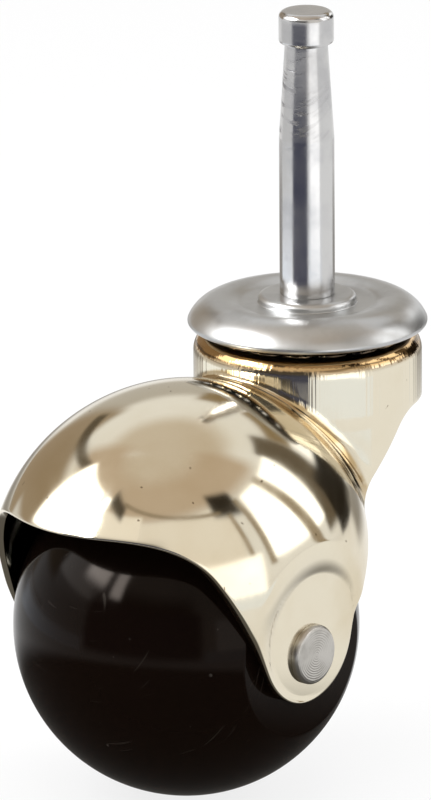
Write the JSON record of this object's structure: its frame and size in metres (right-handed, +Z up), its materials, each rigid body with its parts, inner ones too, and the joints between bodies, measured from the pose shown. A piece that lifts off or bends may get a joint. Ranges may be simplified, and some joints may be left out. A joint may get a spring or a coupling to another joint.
{
  "type": "ball castor",
  "caption": "Swivelling ball castor with a hooded brass-plated fork, a dark ball wheel on an axle pin and a grip-neck stem over a domed flange.",
  "frame": {"origin": "on the stem axis at the top of the flange boss, where the straight wall of the stem starts", "axes": "+Z up the stem, the wheel trailing towards -X, the axle along Y"},
  "size_m": [0.0735, 0.0498, 0.1106],
  "materials": {
    "stem_steel": "bright zinc plate with drawing marks",
    "flange_steel": "bright nickel plate",
    "bearing_steel": "polished steel",
    "brass_plate": "pale brass plate, polished",
    "axle_steel": "turned steel",
    "ball_plastic": "glossy dark brown moulding"
  },
  "bodies": {
    "stem": {"stem": "stem_steel", "flange_washer": "flange_steel", "swivel_washer": "flange_steel"},
    "ball_ring": {"bearing_ball_01": "bearing_steel", "bearing_ball_02": "bearing_steel", "bearing_ball_03": "bearing_steel", "bearing_ball_04": "bearing_steel", "bearing_ball_05": "bearing_steel", "bearing_ball_06": "bearing_steel", "bearing_ball_07": "bearing_steel", "bearing_ball_08": "bearing_steel", "bearing_ball_09": "bearing_steel", "bearing_ball_10": "bearing_steel", "bearing_ball_11": "bearing_steel", "bearing_ball_12": "bearing_steel", "bearing_ball_13": "bearing_steel", "bearing_ball_14": "bearing_steel", "bearing_ball_15": "bearing_steel", "bearing_ball_16": "bearing_steel"},
    "hood": {"hood": "brass_plate", "axle_pin": "axle_steel"},
    "wheel": {"ball_wheel": "ball_plastic"}
  },
  "joints": [
    {"name": "swivel", "type": "hinge", "parent": "stem", "child": "hood", "pos_m": [0, 0, 0], "axis": [0, 0, 1], "continuous": true},
    {"name": "ball_ring_roll", "type": "hinge", "parent": "stem", "child": "ball_ring", "pos_m": [0, 0, 0], "axis": [0, 0, 1], "continuous": true},
    {"name": "wheel_spin", "type": "hinge", "parent": "hood", "child": "wheel", "pos_m": [-0.0275, 0, -0.0434], "axis": [0, 1, 0], "continuous": true}
  ],
  "couplings": [
    {"joint": "ball_ring_roll", "follows": "swivel", "ratio": 0.5}
  ]
}
